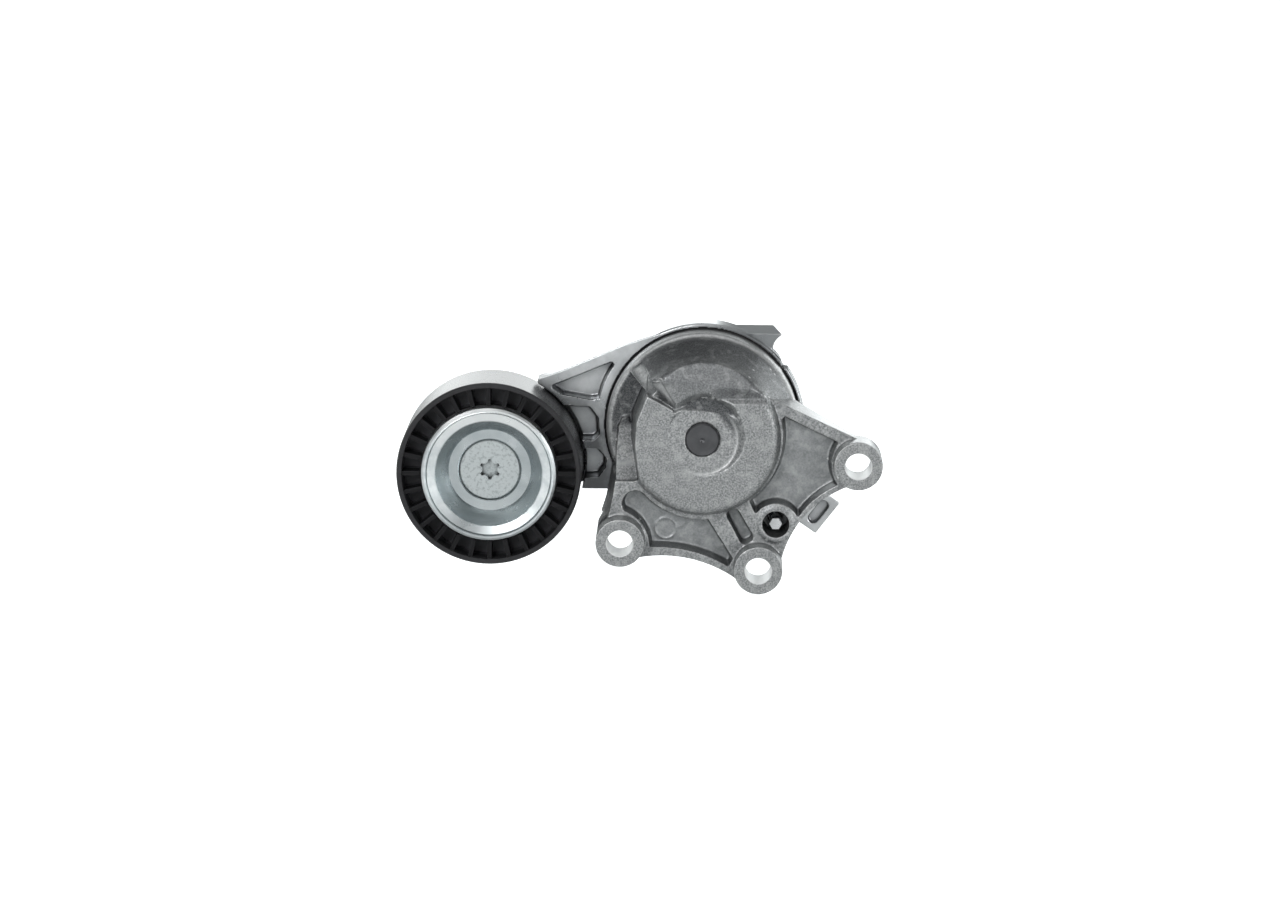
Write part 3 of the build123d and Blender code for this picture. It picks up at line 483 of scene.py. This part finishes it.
mats = {
    "cast_aluminium_base": cast_base(),
    "cast_aluminium_arm": cast_arm(),
    "dark_steel": steel("dark_steel", (0.075, 0.076, 0.080), 0.40, PIVOT_X, PIVOT_Z),
    "steel": steel("steel", (0.55, 0.56, 0.57), 0.25, WHEEL_X, WHEEL_Z),
    "zinc_plate": zinc_bright("zinc_plate", WHEEL_X, WHEEL_Z),
    "zinc_flake": zinc_flake(),
    "black_polymer": polymer("black_polymer", WHEEL_X, WHEEL_Z),
    "bush_polymer": polymer("bush_polymer", PIVOT_X, PIVOT_Z, (0.09, 0.075, 0.05)),
    "seal_rubber": rubber(),
    "spring_steel": steel("spring_steel", (0.05, 0.05, 0.055), 0.4, PIVOT_X, PIVOT_Z),
}
slot_of = {s["node"]: s["material_slot"] for s in frame["record"]["subparts"]}
for name, obj in nodes.items():
    obj.data.materials.clear()
    obj.data.materials.append(mats[slot_of[name]])

# ------------------------------------------------------------------ casting surface


def soften(obj, voxel, smooth):
    """Rounds a casting's edges: an even remesh, then a few smoothing passes."""
    weld = obj.modifiers.new("weld", "WELD")
    weld.merge_threshold = 0.00001
    remesh = obj.modifiers.new("remesh", "REMESH")
    remesh.mode = "VOXEL"
    remesh.voxel_size = voxel
    remesh.use_smooth_shade = True
    passes = obj.modifiers.new("smooth", "SMOOTH")
    passes.factor = 0.5
    passes.iterations = smooth


casting_voxel = 0.00035
soften(nodes["base_housing"], casting_voxel, 3)
soften(nodes["tensioner_arm"], casting_voxel, 1)

# ------------------------------------------------------------------ floor, light, camera
STUDIO_WHITE = (0.97, 1.0, 1.0)
FLOOR_SIZE = 12
FLOOR_PLACE = (0, 3.0, -0.075)
LIGHT_TARGET = (-0.02, 0.02, 0.0)
LIGHT_SIZE = {"key": 0.6, "fill": 0.6, "top": 0.8}
LIGHT_WATTS = {"key": 9, "fill": 4.2, "top": 1.5}
LIGHT_PLACE = {"key": (-0.50, -1.0, 0.60), "fill": (0.8, -0.8, 0.15), "top": (0.0, -0.1, 1.0)}
CAMERA_PLACE = (0.00503, -1.27044, 0.26476)
CAMERA_AZIMUTH, CAMERA_ELEVATION = math.radians(1.2), math.radians(12.0)
SENSOR_WIDTH = 36.0
FOCAL_PIXELS, FRAME_PIXELS = 3750.5, 1280

bpy.ops.mesh.primitive_plane_add(size=FLOOR_SIZE, location=FLOOR_PLACE)
floor = bpy.context.object
floor.name = "floor"
floor_mat = bpy.data.materials.new("floor")
floor_mat.use_nodes = True
floor_tree = floor_mat.node_tree
floor_bsdf = floor_tree.nodes["Principled BSDF"]
floor_bsdf.inputs["Base Color"].default_value = (0.85, 0.86, 0.86, 1)
floor_bsdf.inputs["Roughness"].default_value = 0.9
floor_bsdf.inputs["Emission Color"].default_value = (*STUDIO_WHITE, 1)
floor_seen = floor_tree.nodes.new("ShaderNodeLightPath")
floor_tree.links.new(floor_seen.outputs["Is Camera Ray"], floor_bsdf.inputs["Emission Strength"])
floor.data.materials.append(floor_mat)

for name, place in LIGHT_PLACE.items():
    light = bpy.data.lights.new(name, "AREA")
    light.energy = LIGHT_WATTS[name]
    light.size = LIGHT_SIZE[name]
    lamp = bpy.data.objects.new(name, light)
    bpy.context.scene.collection.objects.link(lamp)
    lamp.location = place
    aim = Vector(LIGHT_TARGET) - Vector(place)
    lamp.rotation_euler = aim.to_track_quat("-Z", "Y").to_euler()

# a pale backdrop that is brightest low behind the object, seen as plain white
world = bpy.data.worlds.new("studio")
bpy.context.scene.world = world
world.use_nodes = True
sky = world.node_tree


def sky_node(kind, *values):
    """A world node with its first inputs linked or set."""
    n = sky.nodes.new(kind)
    for socket, value in zip(n.inputs, values):
        if hasattr(value, "is_output"):
            sky.links.new(value, socket)
        else:
            socket.default_value = value
    return n


def sky_ramp(value, lo, hi, at_lo, at_hi):
    n = sky_node("ShaderNodeMapRange", value, lo, hi, at_lo, at_hi)
    n.interpolation_type = "SMOOTHSTEP"
    return n.outputs[0]


def sky_math(op, a, b):
    n = sky_node("ShaderNodeMath", a, b)
    n.operation = op
    return n.outputs[0]


direction = sky_node("ShaderNodeTexCoord").outputs["Generated"]
axes = sky_node("ShaderNodeSeparateXYZ", direction)
behind = sky_ramp(axes.outputs[1], -0.15, 0.45, 0.0, 1.0)
low = sky_ramp(axes.outputs[2], 0.28, 0.50, 1.0, 0.0)
front = sky_ramp(axes.outputs[2], 0.0, 0.6, 0.60, 0.16)
glow = sky_math("MULTIPLY", sky_math("MULTIPLY", behind, low), 2.1)
lighting = sky_math("ADD", front, glow)
seen = sky_node("ShaderNodeLightPath").outputs["Is Camera Ray"]
unseen = sky_math("SUBTRACT", 1.0, seen)
strength = sky_math("ADD", sky_math("MULTIPLY", lighting, unseen), sky_math("MULTIPLY", seen, 1.1))
background = sky.nodes["Background"]
sky.links.new(strength, background.inputs["Strength"])
background.inputs["Color"].default_value = (*STUDIO_WHITE, 1.0)

cam_data = bpy.data.cameras.new("camera")
cam = bpy.data.objects.new("camera", cam_data)
bpy.context.scene.collection.objects.link(cam)
az, el = CAMERA_AZIMUTH, CAMERA_ELEVATION
right = Vector((math.cos(az), math.sin(az), 0))
forward = Vector((-math.sin(az) * math.cos(el), math.cos(az) * math.cos(el), -math.sin(el)))
rotation = Matrix((right, right.cross(forward), -forward)).transposed()
cam.matrix_world = Matrix.Translation(Vector(CAMERA_PLACE)) @ rotation.to_4x4()
cam_data.sensor_width = SENSOR_WIDTH
cam_data.lens = FOCAL_PIXELS / FRAME_PIXELS * SENSOR_WIDTH
cam_data.clip_end = 50
bpy.context.scene.camera = cam
bpy.context.scene.view_settings.view_transform = "Standard"
